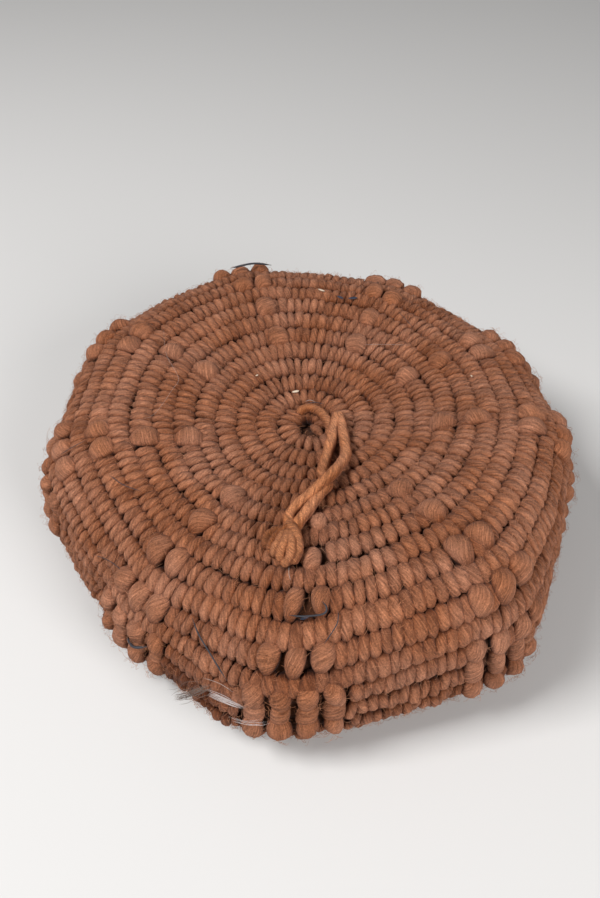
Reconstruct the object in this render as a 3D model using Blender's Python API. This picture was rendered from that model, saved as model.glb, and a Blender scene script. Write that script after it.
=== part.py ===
"""Round cap of thick brown yarn, worked as one spiral coil with nine wedges of bobbles.

The crown is one hollow solid: a coil of fat yarn that starts at a small hole, grows outward
anticlockwise seen from above, turns down over a soft nine-cornered shoulder, and curls under
to an open rim.  The bobbles are worked from the same yarn, so they are fused to it.  A short
twisted tail comes out beside the hole, lies on the top and ends in a knot.

Metres, +Z up, the near side of the photograph toward -Y.  The rim rests on z = 0.
"""
import math

import bmesh
import bpy
import numpy as np
from mathutils import Vector

# Cap and coil
CAP_WIDTH = 0.230         # over the widest turn of the coil, before the corners push out
LIFT_HEIGHT = 0.062       # height of the side that the lifts below are shares of
WALL = 0.008              # thickness of the coil work
COIL_RELIEF = 0.0014      # height of a turn's crest, and depth of the groove beside it
HOLE_DEPTH = 0.0022       # dimple in the middle of the first turn
ROWS = 19                 # turns from the hole to the rim
SHOULDER_ROW = 12         # the turn at which the top becomes the side

# Rim
RIM_FLAT = 0.0045         # width of the ring that touches the surface
RIM_ROLL = 0.0016         # how far the last turn swells inward beyond that ring
RIM_FADE_ROWS = 0.8       # over how many turns the ribs flatten toward the rim
ROLL_HEIGHT_SHARES = (0.3, 0.75)  # of the wall: heights of the rolled edge's two rings
LINING_FROM_RIM_ROWS = 0.5        # from the rim, where the plain inside begins
LINING_FROM_HOLE_ROWS = 0.6       # from the hole, where its last ring lies

# Bobbles
BOBBLE_WIDTH = 0.0092
BOBBLE_LENGTH = 0.0106
BOBBLE_GAP = 0.0005       # between neighbours in one row
BOBBLE_RISE = 0.0006      # height of a bobble's middle over the smooth cap
BOBBLE_SHOULDER_SHARES = (0.72, 0.70)  # its upper ring: of half its width, out and up

# Tail
TAIL_DIAMETER = 0.0076
TAIL_CLEARANCE = 0.0004   # to the crests and to the knot
TAIL_POINT_STEP = 2.2     # diameters between two points of the tube
KNOT_LENGTH = 0.0155
KNOT_WIDTH = 0.0115
KNOT_HEIGHT = 0.0098

# The hole lies a little off the middle of the cap's box: percent of the cap's radius
HOLE_X_PERCENT = 2.4
HOLE_Y_PERCENT = 4.7

# Mesh fineness
COLUMNS = 48
STEPS_PER_ROW = 2
LINING_RINGS = 10
BOBBLE_SIDES = 6

# Slope of the cap from the hole outward: share of the rows, degrees below level
SLOPES = (
    (0.00, 0.0),
    (0.21, -12.0),
    (0.37, -10.0),
    (0.47, -2.0),
    (0.58, 26.0),
    (0.66, 55.0),
    (0.74, 82.0),
    (0.82, 82.0),
    (0.90, 122.0),
    (1.00, 144.0),
)

# The nine corners, clockwise from the right: heading of the first bobble and of the corner
# in degrees, reach as a share of the mean, lift as a share of the side's height
CORNERS = (
    (-12.0, -8.0, 0.950, 0.13),
    (-57.0, -55.0, 1.057, 0.22),
    (-88.0, -95.0, 1.055, -0.09),
    (-126.0, -130.0, 0.948, -0.28),
    (-165.0, -173.0, 0.988, -0.08),
    (-209.0, -208.0, 1.011, 0.05),
    (-253.0, -251.0, 0.998, 0.08),
    (-295.0, -294.0, 1.000, -0.01),
    (-331.0, -332.0, 0.990, -0.04),
)
CORNER_PUSH_PERCENT = 4.0  # how far a corner stands out, of the radius
CORNER_SPREAD_DEG = 9.0   # half width of a corner

# Each wedge of bobbles: turn of the coil, how many stand side by side
BOBBLE_ROWS = ((6, 1), (8, 1), (10, 2), (12, 3), (14, 4), (16, 4))

# The tail's way over the top, chosen by hand: heading in degrees, turns from the hole, and
# how many bobble widths it is lifted off the crests where it climbs the first bobble
TAIL_ROUTE = (
    (14.0, 1.20, 0.0),
    (-20.0, 1.45, 0.0),
    (-47.0, 2.15, 0.0),
    (-66.0, 3.10, 0.0),
    (-79.0, 4.30, 0.13),
    (-88.5, 5.45, 0.28),
    (-93.5, 6.45, 0.30),
    (-96.0, 7.20, 0.15),
)
KNOT_HEADING = -96.6
KNOT_TURN = 8.35

FULL_TURN = 2.0 * math.pi


def smooth_step(x):
    """Rise softly from 0 to 1 while x goes from 0 to 1."""
    x = np.clip(x, 0.0, 1.0)
    return x * x * (3.0 - 2.0 * x)


def around(theta, column):
    """Blend one column of the corner table softly round the cap."""
    table = np.array(CORNERS)
    heading = np.radians(table[:, 1]) % FULL_TURN
    order = np.argsort(heading)
    heading = heading[order]
    value = table[order, column]
    heading = np.concatenate([heading[-2:] - FULL_TURN, heading, heading[:2] + FULL_TURN])
    value = np.concatenate([value[-2:], value, value[:2]])
    slope = np.gradient(value, heading)
    t = theta % FULL_TURN
    i = np.clip(np.searchsorted(heading, t) - 1, 0, len(heading) - 2)
    width = heading[i + 1] - heading[i]
    u = (t - heading[i]) / width
    start = value[i] * (1.0 + 2.0 * u) * (1.0 - u) ** 2
    end = value[i + 1] * u * u * (3.0 - 2.0 * u)
    bend = slope[i] * u * (1.0 - u) ** 2 + slope[i + 1] * u * u * (u - 1.0)
    return start + end + width * bend


def corner_wave(theta):
    """Be high at each corner and a little below zero on the flats between them."""
    wave = np.full(np.shape(theta), -0.4)
    for corner in CORNERS:
        away = (theta - math.radians(corner[1]) + math.pi) % FULL_TURN - math.pi
        wave = wave + np.exp(-((away / math.radians(CORNER_SPREAD_DEG)) ** 2))
    return wave


def add_up_slopes():
    """Walk down the slopes: share of the rows, radius, and height over the rim."""
    share = np.linspace(0.0, 1.0, 401)
    slope = np.radians(np.interp(share, [s[0] for s in SLOPES], [s[1] for s in SLOPES]))
    out = (np.cos(slope[1:]) + np.cos(slope[:-1])) / 2.0
    down = (np.sin(slope[1:]) + np.sin(slope[:-1])) / 2.0
    radius = np.concatenate([[0.0], np.cumsum(out)])
    height = -np.concatenate([[0.0], np.cumsum(down)])
    step = CAP_WIDTH / 2.0 / radius.max()
    return share, radius * step, (height - height[-1]) * step


SHARE, RADIUS, HEIGHT = add_up_slopes()
HOLE_X = HOLE_X_PERCENT / 100.0 * CAP_WIDTH / 2.0
HOLE_Y = HOLE_Y_PERCENT / 100.0 * CAP_WIDTH / 2.0


def cap_point(theta, turn):
    """Give the point of the smooth cap at a heading and a number of turns from the hole."""
    theta = np.asarray(theta, dtype=float)
    share = np.asarray(turn, dtype=float) / ROWS
    shoulder = SHOULDER_ROW / ROWS
    ramp = np.clip(share / shoulder, 0.0, 1.0)
    grow = smooth_step(2.0 * share / shoulder - 1.0)
    push = CORNER_PUSH_PERCENT / 100.0 * corner_wave(theta) * grow
    reach = 1.0 + ramp * (around(theta, 2) - 1.0) + push
    radius = np.interp(share, SHARE, RADIUS) * reach
    level = np.interp(share, SHARE, HEIGHT)
    side = np.interp(shoulder, SHARE, HEIGHT)
    lift = around(theta, 3) * LIFT_HEIGHT
    top = level + lift * ramp ** 1.5
    wall = level * (side + lift) / side
    height = np.where(share < shoulder, top, wall)
    x = radius * np.cos(theta) + HOLE_X
    y = radius * np.sin(theta) + HOLE_Y
    return np.stack([x, y, height], axis=-1)


def cap_frame(theta, turn):
    """Give the direction round the cap, the direction outward and the normal at a point."""
    nudge = 0.02  # radians round the cap, and turns across it
    turn = np.clip(turn, 2.0 * nudge, ROWS - nudge)
    along = cap_point(theta + nudge, turn) - cap_point(theta - nudge, turn)
    outward = cap_point(theta, turn + nudge) - cap_point(theta, turn - nudge)
    along = along / np.linalg.norm(along, axis=-1, keepdims=True)
    outward = outward / np.linalg.norm(outward, axis=-1, keepdims=True)
    normal = np.cross(outward, along)
    normal = normal / np.linalg.norm(normal, axis=-1, keepdims=True)
    return along, outward, normal


def crest_turn(theta, number):
    """Say how many turns from the hole the crest of a numbered turn lies at a heading."""
    return number - 0.5 + (theta % FULL_TURN) / FULL_TURN


def skin_grid(theta):
    """Lay the ribbed outside: crests and grooves that follow the spiral, hole to rim."""
    steps = np.arange(-STEPS_PER_ROW, (ROWS + 2) * STEPS_PER_ROW)
    raw = crest_turn(theta[:, None], steps[None, :] / STEPS_PER_ROW)
    turn = np.clip(raw, 0.0, ROWS)
    heading = np.broadcast_to(theta[:, None], turn.shape)
    rib = COIL_RELIEF * np.where(steps % STEPS_PER_ROW == 0, 1.0, -1.0)
    inner = smooth_step(turn)
    outer = smooth_step((ROWS - turn) / RIM_FADE_ROWS)
    rise = rib[None, :] * inner * outer - HOLE_DEPTH * (1.0 - inner)
    normal = cap_frame(heading, turn)[2]
    normal[turn == 0.0] = (0.0, 0.0, 1.0)
    return cap_point(heading, turn) + normal * rise[..., None]


def edge_rings(theta):
    """Lay the flat ring on the surface and the two rings of the rolled edge inside it."""
    foot = cap_point(theta, np.full(len(theta), float(ROWS)))
    inward = np.array([HOLE_X, HOLE_Y, 0.0]) - foot * (1.0, 1.0, 0.0)
    inward = inward / np.linalg.norm(inward, axis=-1, keepdims=True)
    up = np.array([0.0, 0.0, 1.0])
    low, high = ROLL_HEIGHT_SHARES
    return [
        foot,
        foot + inward * RIM_FLAT,
        foot + inward * (RIM_FLAT + RIM_ROLL) + up * WALL * low,
        foot + inward * RIM_FLAT + up * WALL * high,
    ]


def lining_rings(theta):
    """Lay the plain inside, one wall's thickness in from the smooth cap, rim to middle."""
    rings = []
    for turn in np.linspace(ROWS - LINING_FROM_RIM_ROWS, LINING_FROM_HOLE_ROWS, LINING_RINGS):
        level = np.full(len(theta), turn)
        rings.append(cap_point(theta, level) - cap_frame(theta, level)[2] * WALL)
    middle = cap_point(0.0, 0.0) - np.array([0.0, 0.0, WALL])
    rings.append(np.broadcast_to(middle, (len(theta), 3)))
    return rings


def crown_mesh():
    """Sew the ribbed outside, the flat ring, the rolled edge and the inside into one shell."""
    theta = np.arange(COLUMNS) * FULL_TURN / COLUMNS
    skin = skin_grid(theta)
    rings = np.stack(edge_rings(theta) + lining_rings(theta), axis=1)
    verts = np.concatenate([skin.reshape(-1, 3), rings.reshape(-1, 3)])
    faces = []
    for first, count, twist in ((0, skin.shape[1], STEPS_PER_ROW),
                                (skin.shape[0] * skin.shape[1], rings.shape[1], 0)):
        for i in range(COLUMNS):
            seam = twist if i == COLUMNS - 1 else 0
            near = first + i * count
            far = first + ((i + 1) % COLUMNS) * count + seam
            for j in range(count - 1 - seam):
                faces.append((near + j, near + j + 1, far + j + 1, far + j))
    mesh = bpy.data.meshes.new("crown")
    mesh.from_pydata([tuple(v) for v in verts], [], faces)
    shell = bmesh.new()
    shell.from_mesh(mesh)
    bmesh.ops.remove_doubles(shell, verts=shell.verts, dist=1e-6)
    bmesh.ops.dissolve_degenerate(shell, edges=shell.edges, dist=1e-7)
    shell.to_mesh(mesh)
    shell.free()
    return mesh


def bobble_places():
    """List the heading and turn of every bobble: nine wedges that widen down the cap."""
    places = []
    for first_heading, corner_heading, _, _ in CORNERS:
        for number, count in BOBBLE_ROWS:
            low, high = BOBBLE_ROWS[0][0], SHOULDER_ROW
            share = min(max((number - low) / (high - low), 0.0), 1.0)
            middle = math.radians(first_heading + (corner_heading - first_heading) * share)
            spot = cap_point(middle, crest_turn(middle, number))
            radius = math.hypot(spot[0] - HOLE_X, spot[1] - HOLE_Y)
            step = BOBBLE_WIDTH + BOBBLE_GAP
            for k in range(count):
                heading = middle + (k - (count - 1) / 2.0) * step / radius
                places.append((heading, float(crest_turn(heading, number))))
    return places


def bobble_mesh():
    """Make every bobble as a low dome over a buried point, all in one mesh."""
    spin = np.arange(BOBBLE_SIDES) * FULL_TURN / BOBBLE_SIDES
    verts = []
    faces = []
    for heading, turn in bobble_places():
        along, outward, normal = cap_frame(np.array(heading), np.array(turn))
        middle = cap_point(heading, turn) + normal * BOBBLE_RISE
        start = len(verts)
        for reach, rise in ((1.0, 0.0), BOBBLE_SHOULDER_SHARES):
            for angle in spin:
                wide = along * math.cos(angle) * BOBBLE_WIDTH / 2.0
                long = outward * math.sin(angle) * BOBBLE_LENGTH / 2.0
                high = normal * rise * BOBBLE_WIDTH / 2.0
                verts.append(middle + (wide + long) * reach + high)
        verts.append(middle + normal * BOBBLE_WIDTH / 2.0)
        verts.append(middle - normal * WALL / 2.0)
        top = start + 2 * BOBBLE_SIDES
        for k in range(BOBBLE_SIDES):
            n = (k + 1) % BOBBLE_SIDES
            ring = start + BOBBLE_SIDES
            faces.append((start + n, start + k, ring + k, ring + n))
            faces.append((ring + n, ring + k, top))
            faces.append((start + k, start + n, top + 1))
    mesh = bpy.data.meshes.new("bobbles")
    mesh.from_pydata([tuple(v) for v in verts], [], faces)
    return mesh


def material(name, colour, roughness):
    """Make a plain yarn finish."""
    finish = bpy.data.materials.new(name)
    finish.use_nodes = True
    shader = finish.node_tree.nodes["Principled BSDF"]
    shader.inputs["Base Color"].default_value = (*colour, 1.0)
    shader.inputs["Roughness"].default_value = roughness
    shader.inputs["Metallic"].default_value = 0.0
    return finish


def place(name, data, finish):
    """Put a mesh or curve into the scene under its own name."""
    piece = bpy.data.objects.new(name, data)
    data.materials.append(finish)
    bpy.context.scene.collection.objects.link(piece)
    return piece


def make_crown():
    """Build the hollow cap and fuse its bobbles to it."""
    finish = material("brown_yarn", (0.30, 0.11, 0.045), 0.9)
    crown = place("crown", crown_mesh(), finish)
    bobbles = place("bobbles", bobble_mesh(), finish)
    bobbles.hide_render = True
    bobbles.display_type = "WIRE"
    union = crown.modifiers.new("bobbles_on", "BOOLEAN")
    union.operation = "UNION"
    union.solver = "EXACT"
    union.use_self = True
    union.object = bobbles
    return crown


def tail_centre():
    """Carry the tail's chosen points up to where the tube lies on the crests."""
    heading = np.radians([p[0] for p in TAIL_ROUTE])
    turn = np.array([p[1] for p in TAIL_ROUTE])
    lie = COIL_RELIEF + TAIL_CLEARANCE + TAIL_DIAMETER / 2.0
    lie = lie + BOBBLE_WIDTH * np.array([p[2] for p in TAIL_ROUTE])
    return cap_point(heading, turn) + cap_frame(heading, turn)[2] * lie[:, None]


def smooth_line(points, step):
    """Read points a step apart from a soft curve through the chosen ones."""
    points = np.array(points)
    before = 2.0 * points[0] - points[1]
    after = 2.0 * points[-1] - points[-2]
    knots = np.vstack([before, points, after])
    fine = []
    for i in range(1, len(knots) - 2):
        a, b, c, d = knots[i - 1], knots[i], knots[i + 1], knots[i + 2]
        for u in np.linspace(0.0, 1.0, 24, endpoint=False):
            second = 2.0 * a - 5.0 * b + 4.0 * c - d
            third = 3.0 * b - a - 3.0 * c + d
            fine.append((2.0 * b + (c - a) * u + second * u ** 2 + third * u ** 3) / 2.0)
    fine.append(points[-1])
    fine = np.array(fine)
    gone = np.concatenate([[0.0], np.cumsum(np.linalg.norm(np.diff(fine, axis=0), axis=1))])
    count = max(3, round(gone[-1] / step) + 1)
    marks = np.linspace(0.0, gone[-1], count)
    return np.stack([np.interp(marks, gone, fine[:, k]) for k in range(3)], axis=-1)


def make_tail():
    """Build the tail as one tube along its route."""
    route = smooth_line(tail_centre(), TAIL_POINT_STEP * TAIL_DIAMETER)
    curve = bpy.data.curves.new("tail_cord", "CURVE")
    curve.dimensions = "3D"
    curve.bevel_depth = TAIL_DIAMETER / 2.0
    curve.bevel_resolution = 2
    curve.use_fill_caps = True
    spline = curve.splines.new("POLY")
    spline.points.add(len(route) - 1)
    for target, point in zip(spline.points, route):
        target.co = (*point, 1.0)
    return place("tail_cord", curve, material("tail_yarn", (0.42, 0.16, 0.06), 0.9))


def make_knot():
    """Build the knot as one rounded lump that lies past the tail's end."""
    heading = np.array(math.radians(KNOT_HEADING))
    turn = np.array(KNOT_TURN)
    along, outward, normal = cap_frame(heading, turn)
    lie = COIL_RELIEF + TAIL_CLEARANCE + KNOT_HEIGHT / 2.0
    middle = cap_point(heading, turn) + normal * lie
    mesh = bpy.data.meshes.new("tail_knot")
    lump = bmesh.new()
    bmesh.ops.create_uvsphere(lump, u_segments=12, v_segments=8, radius=0.5)
    for vert in lump.verts:
        x, y, z = vert.co
        vert.co = Vector(middle + along * x * KNOT_WIDTH + normal * y * KNOT_HEIGHT
                         + outward * z * KNOT_LENGTH)
    lump.to_mesh(mesh)
    lump.free()
    mesh.shade_smooth()
    return place("tail_knot", mesh, material("knot_yarn", (0.42, 0.16, 0.06), 0.9))


def main():
    """Clear the scene and build the cap."""
    for old in list(bpy.data.objects):
        bpy.data.objects.remove(old, do_unlink=True)
    make_crown()
    make_tail()
    make_knot()


main()
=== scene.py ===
# %% [markdown]
# # Woven fibre headdress
# A low round cap of thick brown yarn. One fat coil runs from a small hole in the middle of the
# top to the rim, and short wrap stitches bind each turn to the one before it. Nine wedges of
# yarn bobbles run down the shoulder, and a short twisted tail with a knot lies on the top.
#
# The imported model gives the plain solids. This script leaves their places alone and dresses
# them: stitch by stitch, bobble by bobble, strand by strand. Everything is in metres.

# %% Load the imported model
import math

import bpy
import numpy as np
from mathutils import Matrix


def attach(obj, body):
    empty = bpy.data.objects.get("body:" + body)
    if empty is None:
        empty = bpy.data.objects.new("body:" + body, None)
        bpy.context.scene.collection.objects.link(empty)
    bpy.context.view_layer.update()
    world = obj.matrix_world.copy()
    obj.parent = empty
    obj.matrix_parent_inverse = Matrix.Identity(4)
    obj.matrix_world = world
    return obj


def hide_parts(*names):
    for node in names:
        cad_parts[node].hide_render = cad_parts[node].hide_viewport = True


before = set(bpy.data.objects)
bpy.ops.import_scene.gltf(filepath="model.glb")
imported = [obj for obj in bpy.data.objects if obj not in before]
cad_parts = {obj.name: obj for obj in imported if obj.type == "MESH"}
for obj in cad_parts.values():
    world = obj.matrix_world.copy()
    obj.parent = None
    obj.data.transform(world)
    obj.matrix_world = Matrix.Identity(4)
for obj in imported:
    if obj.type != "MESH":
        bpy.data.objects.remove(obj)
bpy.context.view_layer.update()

# %% [markdown]
# ## The smooth cap under the stitches
# Every stitch needs to know where the cap's surface is. The cap is a function of two numbers: a
# heading round the middle, and how many turns of the coil lie between the hole and the point.
# A table of slopes is walked from the hole outward, which gives a radius and a height for each
# turn, and a second table says how far each of the nine soft corners reaches and how high the
# slumped side stands there. The sizes and tables are the solid's own, but for what a worn cap
# does: its corners are softer, its low wall sags at two places, and some bobbles have slipped.

# %% Sizes and tables of the cap
FULL_TURN = 2.0 * math.pi
CAP_WIDTH = 0.230
LIFT_HEIGHT = 0.062
WALL = 0.008
ROWS = 19
SHOULDER_ROW = 12
BOBBLE_WIDTH = 0.0092
BOBBLE_GAP = 0.0005
BOBBLE_RISE = 0.0006
CORNER_PUSH_PERCENT = 3.2
CORNER_SPREAD_DEG = 9.0
HOLE_X = 2.4 / 100.0 * CAP_WIDTH / 2.0
HOLE_Y = 4.7 / 100.0 * CAP_WIDTH / 2.0

# share of the rows, degrees below level
SLOPES = np.array((
    (0.00, 0.0), (0.21, -12.0), (0.37, -10.0), (0.47, -2.0), (0.58, 26.0), (0.66, 55.0),
    (0.74, 82.0), (0.82, 82.0), (0.90, 122.0), (1.00, 144.0),
))

# heading of the first bobble, heading of the corner, reach, lift
CORNERS = np.array((
    (-12.0, -8.0, 0.950, 0.13), (-57.0, -55.0, 1.057, 0.22), (-88.0, -95.0, 1.055, -0.09),
    (-126.0, -130.0, 0.948, -0.28), (-165.0, -173.0, 0.988, -0.08),
    (-209.0, -208.0, 1.011, 0.05), (-253.0, -251.0, 0.998, 0.08),
    (-295.0, -294.0, 1.000, -0.01), (-331.0, -332.0, 0.990, -0.04),
))

# turn of the coil, how many bobbles stand side by side in each wedge
BOBBLE_ROWS = ((6, 1), (8, 1), (10, 2), (12, 3), (14, 4), (16, 4))

# wedge, turn of the coil, how far its bobbles have slipped outward in turns and round in degrees
BOBBLE_SLIPS = ((0, 8, -0.45, 0.0), (1, 6, 0.45, 0.0), (1, 8, 0.20, 0.0), (2, 6, 0.50, 0.0),
                (2, 8, 0.38, 0.0), (2, 10, 0.0, 1.5), (2, 12, 0.0, 1.9), (2, 14, -0.28, 1.8),
                (2, 16, -0.32, 1.8))

# heading and spread in degrees, how far the soft wall sags outward there, in metres
SAGS = ((-107.0, 10.0, 0.0046), (-50.0, 10.0, 0.0022))


def smooth_step(x):
    """Rise softly from 0 to 1: three x squared less two x cubed."""
    x = np.clip(x, 0.0, 1.0)
    return x * x * (3.0 - 2.0 * x)


def around(theta, column):
    """Blend a column of the corner table round the cap with cubic pieces between corners."""
    heading = np.radians(CORNERS[:, 1]) % FULL_TURN
    order = np.argsort(heading)
    heading = heading[order]
    value = CORNERS[order, column]
    heading = np.concatenate([heading[-2:] - FULL_TURN, heading, heading[:2] + FULL_TURN])
    value = np.concatenate([value[-2:], value, value[:2]])
    slope = np.gradient(value, heading)
    t = theta % FULL_TURN
    i = np.clip(np.searchsorted(heading, t) - 1, 0, len(heading) - 2)
    width = heading[i + 1] - heading[i]
    u = (t - heading[i]) / width
    start = value[i] * (1.0 + 2.0 * u) * (1.0 - u) ** 2
    end = value[i + 1] * u * u * (3.0 - 2.0 * u)
    bend = slope[i] * u * (1.0 - u) ** 2 + slope[i + 1] * u * u * (u - 1.0)
    return start + end + width * bend


def heading_gap(first, second):
    """Smallest turn round from one heading to another, from minus to plus half a turn."""
    return (first - second + math.pi) % FULL_TURN - math.pi


def bell(theta, middle_deg, spread_deg):
    """Bell curve of the heading: exp of minus the gap over the spread, squared."""
    gap = heading_gap(theta, math.radians(middle_deg))
    return np.exp(-((gap / math.radians(spread_deg)) ** 2))


def corner_wave(theta):
    """Sum a bell curve at each corner, set a little below zero on the flats between."""
    return sum((bell(theta, corner[1], CORNER_SPREAD_DEG) for corner in CORNERS), -0.25)


def add_up_slopes():
    """Add up the cosines for the radius and the sines for the height, hole to rim."""
    share = np.linspace(0.0, 1.0, 401)
    slope = np.radians(np.interp(share, SLOPES[:, 0], SLOPES[:, 1]))
    out = (np.cos(slope[1:]) + np.cos(slope[:-1])) / 2.0
    down = (np.sin(slope[1:]) + np.sin(slope[:-1])) / 2.0
    radius = np.concatenate([[0.0], np.cumsum(out)])
    height = -np.concatenate([[0.0], np.cumsum(down)])
    step = CAP_WIDTH / 2.0 / radius.max()
    return share, radius * step, (height - height[-1]) * step


def wall_sag(theta, share):
    """Sum a bell curve at each sag, growing from nothing at the shoulder to the rim."""
    sag = sum(depth * bell(theta, middle, spread) for middle, spread, depth in SAGS)
    return sag * smooth_step((share - 0.62) / 0.18)


SHARE, RADIUS, HEIGHT = add_up_slopes()


def cap_point(theta, turn):
    """Point of the smooth cap: radius times heading, over the height that the slopes give."""
    theta = np.asarray(theta, dtype=float)
    share = np.asarray(turn, dtype=float) / ROWS
    shoulder = SHOULDER_ROW / ROWS
    ramp = np.clip(share / shoulder, 0.0, 1.0)
    grow = smooth_step(2.0 * share / shoulder - 1.0)
    push = CORNER_PUSH_PERCENT / 100.0 * corner_wave(theta) * grow
    reach = 1.0 + ramp * (around(theta, 2) - 1.0) + push
    radius = np.interp(share, SHARE, RADIUS) * reach + wall_sag(theta, share)
    level = np.interp(share, SHARE, HEIGHT)
    side = np.interp(shoulder, SHARE, HEIGHT)
    lift = around(theta, 3) * LIFT_HEIGHT
    height = np.where(share < shoulder, level + lift * ramp ** 1.5,
                      level * (side + lift) / side)
    x = radius * np.cos(theta) + HOLE_X
    y = radius * np.sin(theta) + HOLE_Y
    return np.stack([x, y, height], axis=-1)


def from_hole(theta, turn):
    """Level distance of a point of the cap from the upright line through the hole."""
    spot = cap_point(theta, turn)
    return np.hypot(spot[..., 0] - HOLE_X, spot[..., 1] - HOLE_Y)


def unit(vectors):
    """Divide each vector by its length."""
    return vectors / np.linalg.norm(vectors, axis=-1, keepdims=True)


def cap_frame(theta, turn):
    """Directions round the cap, outward, and off the surface, from small steps either way."""
    nudge = 0.02
    turn = np.clip(turn, 2.0 * nudge, ROWS - nudge)
    along = unit(cap_point(theta + nudge, turn) - cap_point(theta - nudge, turn))
    outward = unit(cap_point(theta, turn + nudge) - cap_point(theta, turn - nudge))
    return along, outward, unit(np.cross(outward, along))


def crest_turn(theta, number):
    """Turns from the hole to the crest of a numbered turn: it grows by one each time round."""
    return number - 0.5 + (theta % FULL_TURN) / FULL_TURN


print("pitch of the coil:", round(np.hypot(np.diff(RADIUS), np.diff(HEIGHT)).sum() / ROWS, 5))

# %% [markdown]
# ## Where the eye is
# The picture was taken from close by, about 45 degrees above the floor, so the near stitches
# look much larger than the far ones. A short distance matters more than the lens here: the
# camera stands 0.40 m from the cap, and the lens is then whatever gives the same framing.

# %% Set the camera
VIEW_DEG = 45.3
VIEW_DISTANCE = 0.40
LENS_MM = 36.9
LOOK_AT = np.array([-0.0019, -0.0011, 0.045])

camera = bpy.data.objects.new("camera", bpy.data.cameras.new("camera"))
camera.data.sensor_width = 36.0
camera.data.lens = LENS_MM
camera.data.clip_start = 0.02
camera.data.clip_end = 20.0
tilt = math.radians(VIEW_DEG)
camera.location = LOOK_AT + VIEW_DISTANCE * np.array([0.0, -math.cos(tilt), math.sin(tilt)])
camera.rotation_euler = (math.pi / 2.0 - tilt, 0.0, 0.0)
bpy.context.scene.collection.objects.link(camera)
bpy.context.scene.camera = camera
print("camera at", [round(v, 4) for v in camera.location])

# %% [markdown]
# ## One way to make every strand
# Yarn work is made of one thing over and over: a soft strand that starts thin, swells and ends
# thin. So one function turns any number of centre lines into closed tubes at once. It takes an
# array of strands by stations, carries an oval ring along each line, closes both ends with a
# point, and writes a UV map (round the strand, along the strand) and two numbers per vertex
# that the materials read: a tone that differs from strand to strand, and how much painted shade
# the point gets, more where it lies deep in the work.

# %% Turn centre lines into closed strands
def carry_rings(line, side, up, wide, high, sides, swell):
    """Vertices = line + swell * (side * wide * cos(a) + up * high * sin(a)), for each angle a."""
    angle = np.arange(sides) * FULL_TURN / sides
    ring_side = (wide[..., None] * np.cos(angle) * swell)[..., None] * side[..., None, :]
    ring_up = (high[..., None] * np.sin(angle) * swell)[..., None] * up[..., None, :]
    return line[..., None, :] + ring_side + ring_up


def strand_faces(count, stations, sides):
    """Quads between neighbouring rings, with a fan of triangles at each end."""
    per = stations * sides + 2
    j, k = np.meshgrid(np.arange(stations - 1), np.arange(sides), indexing="ij")
    n = (k + 1) % sides
    quads = np.stack([j * sides + k, j * sides + n, (j + 1) * sides + n,
                      (j + 1) * sides + k], axis=-1).reshape(-1, 4)
    k = np.arange(sides)
    n = (k + 1) % sides
    first = np.stack([n, k, np.full(sides, stations * sides)], axis=-1)
    last = (stations - 1) * sides
    second = np.stack([last + k, last + n, np.full(sides, stations * sides + 1)], axis=-1)
    start = (np.arange(count) * per)[:, None, None]
    tris = np.concatenate([first, second])
    return (quads + start).reshape(-1, 4), (tris + start).reshape(-1, 3)


def make_mesh(name, verts, quads, tris, uv, tone, deep):
    """Fill a mesh from whole arrays and store the UV map and the two numbers per vertex."""
    mesh = bpy.data.meshes.new(name)
    loops = np.concatenate([quads.ravel(), tris.ravel()])
    sizes = np.concatenate([np.full(len(quads), 4), np.full(len(tris), 3)])
    mesh.vertices.add(len(verts))
    mesh.vertices.foreach_set("co", verts.astype(np.float32).ravel())
    mesh.loops.add(len(loops))
    mesh.loops.foreach_set("vertex_index", loops.astype(np.int32))
    mesh.polygons.add(len(sizes))
    starts = np.concatenate([[0], np.cumsum(sizes)[:-1]])
    mesh.polygons.foreach_set("loop_start", starts.astype(np.int32))
    mesh.update(calc_edges=True)
    layer = mesh.uv_layers.new(name="strand")
    layer.data.foreach_set("uv", uv[loops].astype(np.float32).ravel())
    for label, value in (("tone", tone), ("deep", deep)):
        store = mesh.attributes.new(label, "FLOAT", "POINT")
        store.data.foreach_set("value", value.astype(np.float32))
    mesh.polygons.foreach_set("use_smooth", np.ones(len(sizes), bool))
    mesh.validate()
    return mesh


def ring_uv(count, run, sides):
    """UV of all ring points and tips: how far round from the strand's back, and way along it."""
    shape = (count, len(run), sides)
    u = np.broadcast_to(np.abs(np.arange(sides) / sides - 0.5) * 2.0, shape).reshape(count, -1)
    v = np.broadcast_to(run[:, None], shape).reshape(count, -1)
    return (np.concatenate([u, np.full((count, 2), 0.5)], axis=1),
            np.concatenate([v, np.tile([0.0, 1.0], (count, 1))], axis=1))


def strand_mesh(name, line, side, up, wide, high, reach, tone, deep, sides=8, swell=1.0):
    """Closed tubes over (strands, stations, 3) lines, with end points a reach of a step on."""
    count, stations = line.shape[:2]
    tips = line[:, [0, -1]] + (line[:, [0, -1]] - line[:, [1, -2]]) * reach
    rings = carry_rings(line, side, up, wide, high, sides, swell).reshape(count, -1, 3)
    verts = np.concatenate([rings, tips], axis=1).reshape(-1, 3)
    quads, tris = strand_faces(count, stations, sides)
    u, v = ring_uv(count, (np.arange(stations) + 1.0) / (stations + 1.0), sides)
    low = np.broadcast_to(deep[..., None], (count, stations, sides)).reshape(count, -1)
    low = np.concatenate([low, deep[:, [0, -1]]], axis=1)
    shade = np.repeat(tone, stations * sides + 2)
    return make_mesh(name, verts, quads, tris, np.stack([u.ravel(), v.ravel()], axis=-1), shade,
                     low.ravel())


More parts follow.
